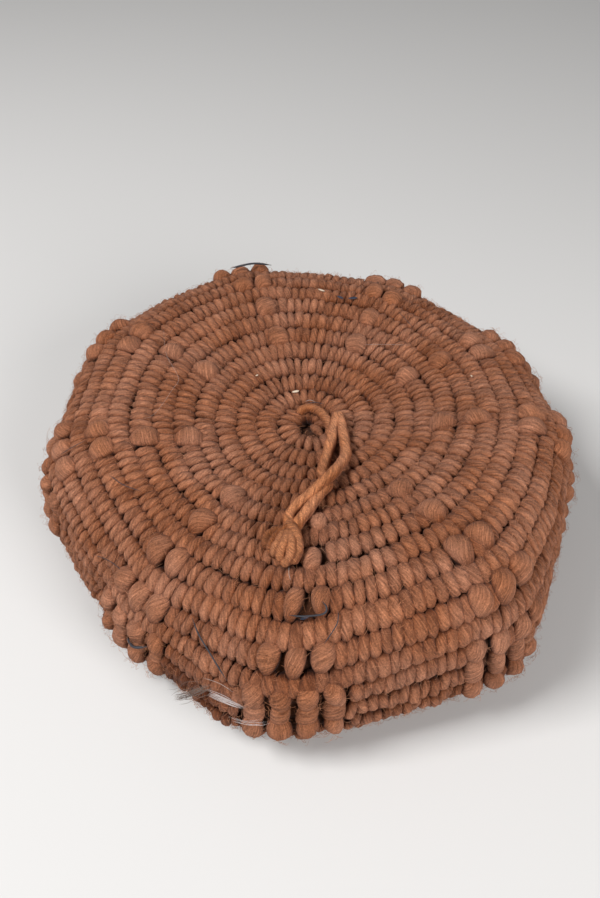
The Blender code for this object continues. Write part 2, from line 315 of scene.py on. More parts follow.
def place(name, mesh, finish, slot_name, *nodes):
    """Link a finished mesh, ride it on the body, and hide the solids that it stands for."""
    piece = bpy.data.objects.new(name, mesh)
    mesh.materials.append(finish)
    bpy.context.scene.collection.objects.link(piece)
    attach(piece, "root")
    if nodes:
        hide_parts(*nodes)
    mesh.calc_loop_triangles()
    spots = np.empty(len(mesh.vertices) * 3, dtype=np.float32)
    mesh.vertices.foreach_get("co", spots)
    lowest = round(float(min(spots[2::3])), 5)
    print(name, "triangles:", len(mesh.loop_triangles), "lowest:", lowest)
    return piece

# %% [markdown]
# ## The yarn itself
# Seen close up, the yarn is a soft bundle of wool fibres that run along the strand with a
# slight twist. Three things make it read as yarn: fine lines along the strand, a colour that
# drifts from strand to strand and from fibre to fibre, with a painted highlight toward the tip
# that lies in the light, and painted shade: dark, redder hollows and flanks where the light
# doesn't reach. All the yarns share them, so they are one node group with named inputs. It
# gives out a colour and a height, and each material keeps its own shader.

# %% Build the shared fibre group
def wire(tree, kind, links=(), **values):
    """Add a node, set its properties and plain sockets, and link (output, socket) pairs."""
    node = tree.nodes.new(kind)
    for key, value in values.items():
        if hasattr(node, key):
            setattr(node, key, value)
        else:
            node.inputs[key.replace("_", " ")].default_value = value
    for output, socket in links:
        tree.links.new(output, node.inputs[socket])
    return node


def math_node(tree, operation, first, second):
    """Join two values or numbers with one arithmetic step."""
    node = tree.nodes.new("ShaderNodeMath")
    node.operation = operation
    for socket, value in zip(node.inputs, (first, second)):
        if isinstance(value, (int, float)):
            socket.default_value = value
        else:
            tree.links.new(value, socket)
    return node.outputs[0]


def mix_colour(tree, share, first, second, blend="MIX"):
    """Blend two colours by a share; each is a socket or a plain colour."""
    node = tree.nodes.new("ShaderNodeMix")
    node.data_type = "RGBA"
    node.blend_type = blend
    for socket, value in ((node.inputs[0], share), (node.inputs[6], first),
                          (node.inputs[7], second)):
        if isinstance(value, (int, float)):
            socket.default_value = value
        elif isinstance(value, tuple):
            socket.default_value = (*value, 1.0)
        else:
            tree.links.new(value, socket)
    return node.outputs[2]


def stretch(tree, value, low, high, to_low=0.0, to_high=1.0, kind="LINEAR"):
    """Map the range from low to high onto another one, and stop at its ends."""
    return wire(tree, "ShaderNodeMapRange", [(value, "Value")], interpolation_type=kind,
                From_Min=low, From_Max=high, To_Min=to_low, To_Max=to_high).outputs[0]


# Dark Colour is the colour of painted shade; Tip Light is the strength of a painted highlight
FIBRE_INPUTS = (
    ("Light Colour", (0.5, 0.25, 0.13, 1.0)), ("Main Colour", (0.33, 0.13, 0.065, 1.0)),
    ("Dark Colour", (0.05, 0.015, 0.008, 1.0)), ("Fibres Across", 16.0), ("Fibres Along", 2.0),
    ("Twist", 5.0), ("Edge Shade", 0.5), ("Tip Light", 0.0),
)


def build_fibre_group():
    """Fibre lines from the strand's UV map; colour from tone, fibres and painted light and shade.
    """
    group = bpy.data.node_groups.new("yarn fibres", "ShaderNodeTree")
    for name, value in FIBRE_INPUTS:
        kind = "NodeSocketColor" if isinstance(value, tuple) else "NodeSocketFloat"
        socket = group.interface.new_socket(name=name, in_out="INPUT", socket_type=kind)
        socket.default_value = value
    for name, kind in (("Colour", "NodeSocketColor"), ("Height", "NodeSocketFloat")):
        group.interface.new_socket(name=name, in_out="OUTPUT", socket_type=kind)
    ins = group.nodes.new("NodeGroupInput").outputs
    outs = group.nodes.new("NodeGroupOutput").inputs

    def add(first, second):
        return math_node(group, "ADD", first, second)

    def times(first, second):
        return math_node(group, "MULTIPLY", first, second)

    def noise(vector, scale, detail, roughness):
        return wire(group, "ShaderNodeTexNoise", [(vector, "Vector")], Scale=scale,
                    Detail=detail, Roughness=roughness).outputs["Fac"]

    strand = wire(group, "ShaderNodeUVMap", uv_map="strand").outputs[0]
    tone = wire(group, "ShaderNodeAttribute", attribute_name="tone").outputs["Fac"]
    deep = wire(group, "ShaderNodeAttribute", attribute_name="deep").outputs["Fac"]
    across, along = wire(group, "ShaderNodeSeparateXYZ", [(strand, 0)]).outputs[:2]
    turned = add(times(across, ins["Fibres Across"]), times(along, ins["Twist"]))
    spot = wire(group, "ShaderNodeCombineXYZ", [
        (turned, 0), (times(along, ins["Fibres Along"]), 1), (times(tone, 90.0), 2)]).outputs[0]
    lines = stretch(group, noise(spot, 1.0, 4.0, 0.65), 0.36, 0.64)
    body = wire(group, "ShaderNodeTexCoord").outputs["Object"]
    patch = noise(body, 45.0, 2.0, 0.5)
    grain = noise(body, 1500.0, 3.0, 0.75)

    drift = add(add(times(lines, 0.50), times(tone, 0.42)), times(patch, 0.9))
    # painted highlight: Tip Light lightens the colour toward the strand's outer end
    drift = add(add(drift, -0.43), times(add(along, -0.5), ins["Tip Light"]))
    lit = mix_colour(group, drift, ins["Main Colour"], ins["Light Colour"])
    # painted shade: the flanks, by Edge Shade, and the hollows, by the per-vertex number, turn
    # darker and redder toward the Dark Colour
    flank_shade = math_node(group, "ABSOLUTE", add(across, -0.5), 0.0)
    flank_shade = stretch(group, flank_shade, 0.08, 0.42, kind="SMOOTHSTEP")
    hollow_shade = math_node(group, "MAXIMUM", stretch(group, deep, 0.0, 1.0, kind="SMOOTHSTEP"),
                       times(flank_shade, ins["Edge Shade"]))
    reddened_shade = mix_colour(group, hollow_shade, lit, (1.0, 0.70, 0.46), "MULTIPLY")
    shaded = mix_colour(group, hollow_shade, reddened_shade, ins["Dark Colour"])
    value = times(stretch(group, grain, 0.30, 0.70, 0.58, 1.34), add(times(lines, 0.36), 0.82))
    bleach = stretch(group, patch, 0.35, 0.65, 1.05, 0.96)
    final = wire(group, "ShaderNodeHueSaturation", [(shaded, "Color"), (value, "Value"),
                                                    (bleach, "Saturation")])
    group.links.new(final.outputs[0], outs["Colour"])
    group.links.new(add(times(lines, 0.5), times(grain, 0.6)), outs["Height"])
    return group


fibre_group = build_fibre_group()
print("fibre group:", [s.name for s in fibre_group.interface.items_tree])

# %% [markdown]
# ## Four yarn finishes from the group
# The cap's yarn is an orange brown with greyer lights. The tail is the same yarn, painted a
# little brighter as a painted highlight, because it lies in the open light. The work behind the
# stitches is painted nearly black brown as painted shade. Wool has no gloss, so the roughness
# is high, and a little sheen gives the pale bloom that loose fibres make at grazing angles.

# %% Make the yarn finishes
def plain_finish(name, colour, roughness):
    """A plain finish of one colour and roughness."""
    finish = bpy.data.materials.new(name)
    finish.use_nodes = True
    shader = finish.node_tree.nodes["Principled BSDF"]
    shader.inputs["Base Color"].default_value = (*colour, 1.0)
    shader.inputs["Roughness"].default_value = roughness
    return finish


def yarn_finish(name, light, main, dark, across, along, twist, edge, bump, tip=0.0):
    """Plain rough shader with the group's colour, its height as bump, and a wool sheen."""
    finish = plain_finish(name, main, 0.92)
    tree = finish.node_tree
    shader = tree.nodes["Principled BSDF"]
    shader.inputs["Specular IOR Level"].default_value = 0.08
    shader.inputs["Sheen Weight"].default_value = 0.05
    shader.inputs["Sheen Roughness"].default_value = 0.6
    fibres = tree.nodes.new("ShaderNodeGroup")
    fibres.node_tree = fibre_group
    values = ((*light, 1.0), (*main, 1.0), (*dark, 1.0), across, along, twist, edge, tip)
    for (label, _), value in zip(FIBRE_INPUTS, values):
        fibres.inputs[label].default_value = value
    tree.links.new(fibres.outputs["Colour"], shader.inputs["Base Color"])
    relief = wire(tree, "ShaderNodeBump", [(fibres.outputs["Height"], "Height")],
                  Strength=bump, Distance=0.0006)
    tree.links.new(relief.outputs[0], shader.inputs["Normal"])
    return finish


LIGHT_BROWN = (0.430, 0.178, 0.094)
MAIN_BROWN = (0.180, 0.066, 0.033)
# the colour that painted shade darkens the yarn toward
PAINTED_SHADE_BROWN = (0.030, 0.007, 0.0022)
stitch_yarn = yarn_finish("stitch yarn", LIGHT_BROWN, MAIN_BROWN, PAINTED_SHADE_BROWN,
                          9.0, 3.0, -12.0, 0.46, 1.0, 0.55)
bobble_yarn = yarn_finish("bobble yarn", LIGHT_BROWN, MAIN_BROWN, PAINTED_SHADE_BROWN,
                          5.0, 10.0, 26.0, 0.0, 1.0, 0.0)
# the tail's brighter colours are a painted highlight on the same yarn
tail_yarn = yarn_finish("tail yarn", (0.68, 0.275, 0.122), (0.25, 0.090, 0.040), PAINTED_SHADE_BROWN,
                        9.0, 16.0, 54.0, 0.42, 1.0)
# the core's nearly black colours are painted shade for the work deep between the stitches
core_shade_yarn = yarn_finish("core yarn", (0.085, 0.032, 0.016), (0.045, 0.016, 0.008),
                        (0.020, 0.008, 0.004), 40.0, 40.0, 0.0, 0.0, 0.6)
print("finishes:", [m.name for m in (stitch_yarn, bobble_yarn, tail_yarn, core_shade_yarn)])

# %% [markdown]
# ## The tail
# Two loose plies come up beside the hole, part round a small eye, cross once and lie side by
# side down to the knot. It could be one twisted tube, but the eye and the crossing show, so
# each ply is its own strand, led through points that give its heading, its turns from the hole
# and the height of its middle over the cap. The route that the tail as a whole follows is the
# same as the solid's.

# %% Lay the two plies
PLY_RADIUS = 0.00230

# heading in degrees, turns from the hole, height of the ply's middle in millimetres
LEFT_PLY = np.array((
    (7.5, 1.36, 3.6), (-31.0, 1.33, 4.2), (-61.0, 2.08, 4.9), (-75.0, 3.01, 4.8),
    (-80.5, 3.73, 4.3), (-82.5, 4.15, 3.6), (-81.0, 4.66, 3.6), (-81.5, 5.14, 5.0),
    (-85.0, 5.59, 5.7), (-88.5, 6.16, 5.8), (-91.5, 6.67, 5.2), (-93.5, 7.12, 5.4),
    (-94.5, 7.51, 5.5),
))
RIGHT_PLY = np.array((
    (11.0, 1.39, 3.2), (-22.5, 1.6, 4.0), (-51.5, 2.56, 4.4), (-62.5, 3.52, 4.9),
    (-71.0, 4.24, 6.3), (-78.5, 4.93, 7.8), (-84.5, 5.41, 8.2), (-89.5, 5.86, 7.4),
    (-94.5, 6.31, 6.4), (-97.0, 6.79, 5.8), (-97.0, 7.15, 5.6), (-96.0, 7.54, 5.6),
))


def on_cap(table):
    """Points at a table's headings and turns, raised off the cap by its millimetres."""
    heading = np.radians(table[:, 0])
    normal = cap_frame(heading, table[:, 1])[2]
    return cap_point(heading, table[:, 1]) + normal * table[:, 2:] / 1000.0


def smooth_line(points, count):
    """Soft curve through points, each stretch a cubic of four of them, read at even steps."""
    before = 2.0 * points[0] - points[1]
    after = 2.0 * points[-1] - points[-2]
    knots = np.vstack([before, points, after])
    a, b, c, d = (knots[k:len(knots) - 3 + k, None, :] for k in range(4))
    u = np.linspace(0.0, 1.0, 24, endpoint=False)[None, :, None]
    second = 2.0 * a - 5.0 * b + 4.0 * c - d
    third = 3.0 * b - a - 3.0 * c + d
    fine = (2.0 * b + (c - a) * u + second * u ** 2 + third * u ** 3) / 2.0
    fine = np.vstack([fine.reshape(-1, 3), points[-1]])
    gone = np.concatenate([[0.0], np.cumsum(np.linalg.norm(np.diff(fine, axis=0), axis=1))])
    marks = np.linspace(0.0, gone[-1], count)
    return np.stack([np.interp(marks, gone, fine[:, k]) for k in range(3)], axis=-1)


def line_frames(line, hint):
    """Side and up directions across a line: side = direction x hint, up = side x direction."""
    ahead = unit(np.gradient(line, axis=-2))
    side = unit(np.cross(ahead, hint))
    return side, unit(np.cross(side, ahead))


def lay_strands(name, lines, radius, lobes=5, turns=-3.0, sides=20, tone=0.4, deep=0.0):
    """Long strands of even count along soft lines, a little uneven, with rounded ends.

    Each is a few smaller strands twisted together: the ring swells with the cosine of lobes
    times the angle, and that wave turns as it goes along.
    """
    count, stations = lines.shape[:2]
    side, up = line_frames(lines, np.array([0.0, 0.0, 1.0]))
    run = np.broadcast_to(np.linspace(0.0, 1.0, stations), (count, stations))
    phase = np.arange(count)[:, None] * 2.1
    uneven = 1.0 + 0.03 * np.sin(run * 31.0 + phase) + 0.03 * np.sin(run * 67.0 + phase)
    end = np.minimum(1.0, (1.0 - np.abs(2.0 * run - 1.0)) * stations / 4.0 + 0.25) ** 0.5
    width = np.reshape(radius, (-1, 1)) * uneven * end
    angle = np.arange(sides) * FULL_TURN / sides
    wave = lobes * (angle + (run * turns * FULL_TURN + phase)[..., None])
    swell = 1.0 + 0.40 / (lobes + 1.0) * np.cos(wave)
    shade = np.broadcast_to(np.reshape(deep, (-1, 1)), (count, stations))
    tone = np.broadcast_to(tone, (count,))
    return strand_mesh(name, lines, side, up, width, width, 0.5, tone, shade, sides, swell)


plies = np.stack([smooth_line(on_cap(table), 120) for table in (LEFT_PLY, RIGHT_PLY)])
tail = place("tail", lay_strands("tail", plies, PLY_RADIUS, lobes=9, sides=36, tone=0.55),
             tail_yarn, "tail_yarn", "tail_cord")

# %% [markdown]
# ## The knot
# The plies end in one knot, pulled into a fat bud. What shows is not a clean loop: one strand
# lies over the bud's right side like a hood, one wraps its left, a loose end lies beside it,
# and four folds fill the bud like the petals of a half-open flower. So each is led by its own
# points. A last strand runs round the hole, where the tail comes out.

# %% Tie the knot
# radius in millimetres, depth of painted shade, then heading, turns and height as in the plies'
# tables
KNOT_STRANDS = (
    (2.35, 0.0, ((-97.0, 7.36, 6.0), (-95.6, 7.66, 7.2), (-94.0, 8.0, 7.8), (-93.3, 8.32, 7.0),
     (-93.3, 8.57, 6.0), (-94.2, 8.8, 4.6), (-94.9, 8.94, 3.4))),
    (2.15, 0.4, ((-94.5, 7.45, 5.6), (-96.0, 7.66, 7.2), (-98.2, 7.9, 6.8), (-99.8, 8.14, 5.6),
     (-100.5, 8.42, 4.2), (-99.6, 8.66, 3.0))),
)
KNOT_ENDS = (
    ((-97.0, 7.81, 7.2), (-97.8, 8.35, 8.3), (-98.8, 8.62, 6.9), (-99.3, 8.78, 4.4)),
    ((-96.0, 7.81, 7.6), (-96.2, 8.44, 9.0), (-97.1, 8.77, 7.8), (-97.6, 8.97, 5.4)),
    ((-95.5, 7.81, 7.6), (-94.6, 8.41, 8.9), (-94.6, 8.78, 7.8), (-95.4, 8.97, 5.0)),
    ((-96.0, 8.38, 5.8), (-96.2, 8.74, 5.6), (-96.3, 8.97, 4.6), (-96.4, 9.08, 3.4)),
)
KNOT_STUB = ((-98.0, 7.57, 5.0), (-100.5, 7.66, 4.6), (-102.5, 7.84, 4.0), (-103.0, 8.05, 3.4),
             (-102.0, 8.35, 2.8))
# the strand that runs round the hole's far side and under the plies
HOLE_LOOP = ((130.0, 0.88, 0.2), (116.5, 0.85, 2.2), (89.5, 0.73, 3.4), (39.0, 0.58, 4.0),
             (-18.5, 0.85, 3.8), (-40.5, 1.24, 3.0), (-52.0, 1.39, 1.6))


def led_by(tables, count):
    """One soft line of the same number of stations through each table's points."""
    return np.stack([smooth_line(on_cap(np.array(table)), count) for table in tables])


def tie(name, tables, count, radius, slot_name, *nodes, **look):
    """Place the strands that some tables lead, in the tail's yarn."""
    mesh = lay_strands(name, led_by(tables, count), radius, **look)
    return place(name, mesh, tail_yarn, slot_name, *nodes)


radii, shades, leads = zip(*KNOT_STRANDS)
knot = tie("knot", leads, 26, np.array(radii) / 1000.0, "tail_yarn", "tail_knot", turns=-1.2,
           tone=0.5, deep=shades)
knot_ends = tie("knot_ends", KNOT_ENDS, 14, 0.00195, "tail_yarn", lobes=6, turns=-0.6, sides=18,
                tone=0.6)
# the stub's low tone and its 0.25 of painted shade stand for the shade it lies in
stub = tie("knot_stub", [KNOT_STUB], 20, 0.0021, "tail_yarn", turns=-1.0, tone=0.2, deep=0.25)
tie("hole_loop", [HOLE_LOOP], 40, 0.0021, "brown_yarn", turns=-2.0, tone=0.3)

# %% [markdown]
# ## Places of the stitches
# Each stitch is a bundle of yarn over the coil, from the groove on its inner side to the groove
# on its outer side. In real work each new stitch goes between two stitches of the turn before,
# so the turns lie like bricks, and now and then one is added as the turn grows. The same is
# done here: the middles between neighbours of one turn, moved one turn on, are the places of
# the next, and a place is added wherever the gaps have grown by a whole stitch.

# %% Work the coil turn by turn
rng = np.random.default_rng(20)


def stitch_width(turn):
    """Room of one stitch along the coil: small near the hole and at the two sides."""
    wide = np.interp(turn, (1.0, 4.0, 10.0, 13.0, 14.5, 16.0),
                     (0.0032, 0.0036, 0.0043, 0.0045, 0.0043, 0.0037))
    back = np.maximum(np.sin(FULL_TURN * (turn + 0.5)), 0.0)
    return wide * (1.0 - 0.13 * np.cos(FULL_TURN * turn) ** 2 - 0.09 * back)


def coil_count():
    """Add up the coil's length over the stitch width, which counts stitches by turn."""
    turn = np.linspace(0.2, ROWS + 1.2, 20000)
    heading = FULL_TURN * (turn + 0.5)
    point = cap_point(heading, np.minimum(turn, ROWS))
    step = np.linalg.norm(np.diff(point, axis=0), axis=1)
    wide = stitch_width((turn[1:] + turn[:-1]) / 2.0)
    return turn, np.concatenate([[0.0], np.cumsum(step / wide)])


COUNT_TURN, COUNT = coil_count()


def even_out(number, passes):
    """Move each place half the way to the middle of its neighbours, some times over."""
    for _ in range(passes):
        number[1:-1] = 0.5 * number[1:-1] + 0.25 * (number[2:] + number[:-2])
    return number


def work_turns(first_turn, last_turn):
    """Place each turn's stitches between those of the turn before, and add where it grows."""
    begin, end = np.interp([first_turn, first_turn + 1.0], COUNT_TURN, COUNT)
    worked = np.interp(np.arange(begin, end), COUNT, COUNT_TURN)
    start = 0
    while worked[-1] < last_turn:
        before = worked[start:]
        start = len(worked) - 1
        middle = (before[1:] + before[:-1]) / 2.0 + 1.0
        number = np.interp(middle, COUNT_TURN, COUNT)
        spare = np.cumsum(np.diff(number) - 1.0)
        added = np.flatnonzero(np.diff(np.floor(spare + 0.5)) > 0) + 1
        between = (number[added] + number[added + 1]) / 2.0
        number = even_out(np.sort(np.concatenate([number, between])), 2)
        worked = np.concatenate([worked, np.interp(number, COUNT, COUNT_TURN)])
    number = np.interp(worked[worked < last_turn], COUNT_TURN, COUNT)
    for _ in range(3):
        wide = np.flatnonzero(np.diff(number) > 1.5)
        number = np.insert(number, wide + 1, (number[wide] + number[wide + 1]) / 2.0)
        number = even_out(number[np.concatenate([[True], np.diff(number) > 0.5])], 5)
    return np.interp(number, COUNT, COUNT_TURN)


def bobble_places():
    """Heading and turn of each bobble: nine wedges, side by side in their rows."""
    places = []
    slips = {row[:2]: row[2:] for row in BOBBLE_SLIPS}
    first_row = BOBBLE_ROWS[0][0]
    for wedge, (first_heading, corner_heading, _, _) in enumerate(CORNERS):
        for number, count in BOBBLE_ROWS:
            slip, shift = slips.get((wedge, number), (0.0, 0.0))
            share = min((number - first_row) / (SHOULDER_ROW - first_row), 1.0)
            middle = first_heading + (corner_heading - first_heading) * share
            middle = math.radians(middle) + math.radians(shift)
            step = (BOBBLE_WIDTH + BOBBLE_GAP) / from_hole(middle, crest_turn(middle, number))
            heading = middle + (np.arange(count) - (count - 1) / 2.0) * step
            turn = crest_turn(heading, number) + slip
            places.append(np.stack([heading, turn, np.full(count, number)], axis=-1))
    return np.concatenate(places)


BOBBLE_BACK = 0.0036


def bobble_height(turn, heading, room=0.0046, turns=0.62):
    """How far the nearest bobble's round back lifts a spot: a quarter circle over its middle."""
    radius = from_hole(heading, turn)
    sideways = heading_gap(heading[:, None], bobbles[None, :, 0]) * radius[:, None] / room
    outward = (turn[:, None] - bobbles[None, :, 1]) / turns
    left = np.clip(1.0 - sideways ** 2 - outward ** 2, 0.0, 1.0)
    return BOBBLE_BACK * np.sqrt(left).max(axis=1)


stitch_turn = work_turns(0.36, ROWS - 0.35)
bobbles = bobble_places()
print("stitches:", len(stitch_turn), "bobbles:", len(bobbles))

# %% [markdown]
# ## Stitches over the coil
# A stitch is a leaf: narrow where it dives into the inner groove, as wide as its room over the
# crest, round where its outer end lies on the next turn, and it leans, because the hook pulls
# it along the coil. Its middle line is a row of points across the coil that rise and fall like
# an arch. No two are the same, so width, lean, height and length all get a small seeded draw.
# From turn 14 on the cap is worn knobbly, so they get shorter and less even. Where a bobble
# stands, the stitches make way.

# %% Wrap the coil with stitches
STITCH_LIFT = 0.0018      # how far a stitch's back stands over the smooth cap
STITCH_THICK = 0.0019     # half of its thickness over the crest
STITCH_DIP = 0.0025       # how far its middle line falls from crest to groove
STITCH_SPAN = 1.28        # turns from end to end
STITCH_LEAN = -0.0007     # how far its outer end runs ahead of its middle: it lags
KNOBBLY_TURN = 14.2       # from here down the stitches are short and uneven
UNDER_SHADE_HEADING_DEG = -117.0  # the low wall folds under here, so its stitches get painted shade
NEAR_HEADING_DEG = -92.0  # the wedge nearest to the eye
LOWEST_MIDDLE = 0.0022    # no stitch's middle line comes nearer to the floor
OUTER_MARKS = np.array((-0.86, -0.46, 0.0, 0.46, 0.86))
INNER_MARKS = np.array((-0.7, 0.0, 0.7))
BOBBLE_ROOM = 0.0033      # stitches nearer than this to a bobble's middle make way
NEAR_BOBBLE_ROOM = 0.0048
NECK_ROOM = 0.0042        # and so do those nearer than this to a neck's
NEAR_NECK_ROOM = 0.0049


def wobble(turn, heading):
    """Slow waves round the coil, of a few hundredths of a turn, so that no row looks ruled."""
    return (0.030 * np.sin(3.0 * heading + 1.9 * turn) + 0.022 * np.sin(7.0 * heading
            - 2.3 * turn + 1.0) + 0.016 * np.sin(13.0 * heading + 3.1 * turn + 2.0))


def over_coil(turn, heading, across, wide, lean, lift, dip, span, thick, outer=1.0):
    """Grain-shaped strands: an arch across the coil that dives at its inner end.

    v = across runs from -1 to 1. Turn = middle + v * span / 2; the heading moves on by the lean
    times v; the height falls by dip times 1.2 |v|^2.2 on the inner side and 0.62 |v|^3.2 on the
    outer; the width is (1 - |v|^2.1)^0.55 inside and (1 - |v|^4)^0.55 outside, but never under
    0.30 of the whole. outer is 1 for the outside of the cap and -1 for its inside.
    """
    v = across[None, :]
    radius = from_hole(heading, turn)
    at_turn = np.clip(turn[:, None] + v * span[:, None] / 2.0, 0.17, ROWS - 0.02)
    at_heading = heading[:, None] + lean[:, None] * v / np.maximum(radius, 0.006)[:, None]
    along, outward, normal = cap_frame(at_heading, at_turn)
    drop = np.where(v < 0.0, 1.2 * np.abs(v) ** 2.2, 0.62 * np.abs(v) ** 3.2)
    height = lift[:, None] - thick[:, None] - dip[:, None] * drop
    line = cap_point(at_heading, at_turn) + normal * (height * outer)[..., None]
    fill = np.clip(1.0 - np.abs(v) ** np.where(v < 0.0, 2.1, 4.0), 0.0, 1.0) ** 0.55
    half_wide = wide[:, None] / 2.0 * np.maximum(fill, 0.30)
    half_high = thick[:, None] * np.maximum(fill, 0.32)
    ahead_line = unit(np.gradient(line, axis=1))
    side = unit(np.cross(normal * outer, ahead_line))
    up = unit(np.cross(ahead_line, side))
    return line, side, up, half_wide, half_high


def near_wedge(heading, half_width_deg):
    """True for headings in the wedge nearest to the eye."""
    gap = heading_gap(heading, math.radians(NEAR_HEADING_DEG))
    return np.abs(gap) < math.radians(half_width_deg)


def beside(places, turn, heading, room):
    """True for stitches whose middle lies on a place's own row, nearer to it than its room."""
    radius = from_hole(heading, turn)
    gap = heading_gap(heading[:, None], places[None, :, 0]) * radius[:, None]
    same_row = np.abs(turn[:, None] - places[None, :, 1] - gap / radius[:, None] / FULL_TURN)
    return np.any((np.abs(gap) < np.reshape(room, (-1, 1))) & (same_row < 0.4), axis=1)


def room_of(turn):
    """Half the way along the coil from the stitch before to the stitch after."""
    number = np.interp(turn, COUNT_TURN, COUNT)
    return np.gradient(number) * stitch_width(turn)


def coil_stitches(turn, room, outer, sides, name):
    """All stitches of one side of the work, as one mesh."""
    heading = FULL_TURN * (turn + 0.5)
    count = len(turn)
    knob = smooth_step((turn - KNOBBLY_TURN) / 1.2)
    moved = turn + 0.05 + wobble(turn, heading) + rng.normal(0.0, 0.028 + 0.03 * knob, count)
    wide = room * rng.normal(1.30 - 0.10 * knob, 0.12, count)
    lean = rng.normal(STITCH_LEAN, 0.0004 + 0.0005 * knob, count) * outer
    lift = STITCH_LIFT + rng.normal(0.0, 0.00022 + 0.00028 * knob, count)
    lift = lift if outer > 0.0 else lift * 0.2 + WALL
    dip = STITCH_DIP * rng.normal(1.0, 0.08, count)
    span = STITCH_SPAN * rng.normal(1.0 - 0.20 * knob, 0.03 + 0.05 * knob, count)
    thick = STITCH_THICK * rng.normal(1.0, 0.06, count)
    across = OUTER_MARKS if outer > 0.0 else INNER_MARKS
    line, side, up, half_wide, half_high = over_coil(
        moved, heading, across, wide, lean, lift, dip, span, thick, outer)
    line[..., 2] = np.maximum(line[..., 2], LOWEST_MIDDLE)
    # painted shade: darker where a stitch dives into its groove, round each bobble, and where the
    # low wall folds under
    groove_shade = smooth_step((np.abs(across) - 0.24) / 0.66)
    groove_shade = groove_shade * np.where(across < 0.0, 1.0, 0.30 + 0.45 * knob[:, None])
    bobble_shade = bobble_height(moved, heading, 0.0074, 1.0) / BOBBLE_BACK * (outer > 0.0)
    under_shade = bell(heading, UNDER_SHADE_HEADING_DEG, 20.0) * smooth_step((turn - 13.2) / 1.8)
    deep = np.maximum(groove_shade, np.maximum(0.42 * bobble_shade, 0.60 * under_shade * (outer > 0.0))[:, None])
    lumps = rng.normal(1.0, 0.065, (count, len(across), sides))
    return strand_mesh(name, line, side, up, half_wide, half_high, 0.35, rng.random(count),
                       deep, sides, lumps)


necks = (bobbles[bobbles[:, 2] == 14, :2] + bobbles[bobbles[:, 2] == 16, :2]) / 2.0
stitch_heading = FULL_TURN * (stitch_turn + 0.5)
stitch_room = room_of(stitch_turn)
near = near_wedge(stitch_heading, 12.0)
clear = ~(beside(bobbles, stitch_turn, stitch_heading,
                 np.where(near, NEAR_BOBBLE_ROOM, BOBBLE_ROOM))
          | beside(necks, stitch_turn, stitch_heading,
                   np.where(near, NEAR_NECK_ROOM, NECK_ROOM)))


def wrap(name, kept, low, high, outer, sides, *nodes):
    """Place the kept stitches of one side of the work between two turns."""
    chosen = kept & (stitch_turn >= low) & (stitch_turn < high)
    mesh = coil_stitches(stitch_turn[chosen], stitch_room[chosen], outer, sides, name)
    place(name, mesh, stitch_yarn, "brown_yarn", *nodes)


wrap("top_stitches", clear, 0.0, 11.0, 1.0, 10, "crown")
wrap("shoulder_stitches", clear, 11.0, 15.0, 1.0, 10)
wrap("side_stitches", clear, 15.0, 20.0, 1.0, 10)

# %% [markdown]
# ## Necks between the lowest bobbles
# The four bobbles of turn 14 run on into the four of turn 16: between them the yarn stays in
# fat bundles, one in each column, with dark holes left and right of it. They are stitches of
# the same kind, twice as wide and longer, so the same function makes them.

# %% Bridge the lowest two bobble rows
def neck_mesh():
    """Wide stitches on turn 15, one in each bobble column."""
    count = len(necks)
    across = np.array((-0.92, -0.55, -0.18, 0.18, 0.55, 0.92))
    line, side, up, half_wide, half_high = over_coil(
        necks[:, 1] + rng.normal(0.0, 0.03, count), necks[:, 0], across,
        rng.normal(0.0078, 0.0005, count), rng.normal(0.0, 0.0006, count),
        rng.normal(0.0026, 0.0003, count), np.full(count, 0.0012), np.full(count, 1.55),
        rng.normal(0.0030, 0.0002, count))
    # painted shade toward both ends of each neck
    deep = np.broadcast_to(np.abs(across) ** 3.0 * 0.6, (count, len(across)))
    return strand_mesh("necks", line, side, up, half_wide, half_high, 0.3, rng.random(count),
                       deep, 14)


place("necks", neck_mesh(), bobble_yarn, "brown_yarn")

# %% [markdown]
# ## The core behind the stitches
# Between stitches and beside the bobbles the eye looks into the shade of the work. A closed
# shell lies there, coloured nearly black as painted shade: the coil itself, ribbed with the
# spiral, a little below the stitches outside and just under the inner ones inside. It is one grid
# of headings by steps along the section, out over the top, round the rim and back inside, joined
# in the middle.

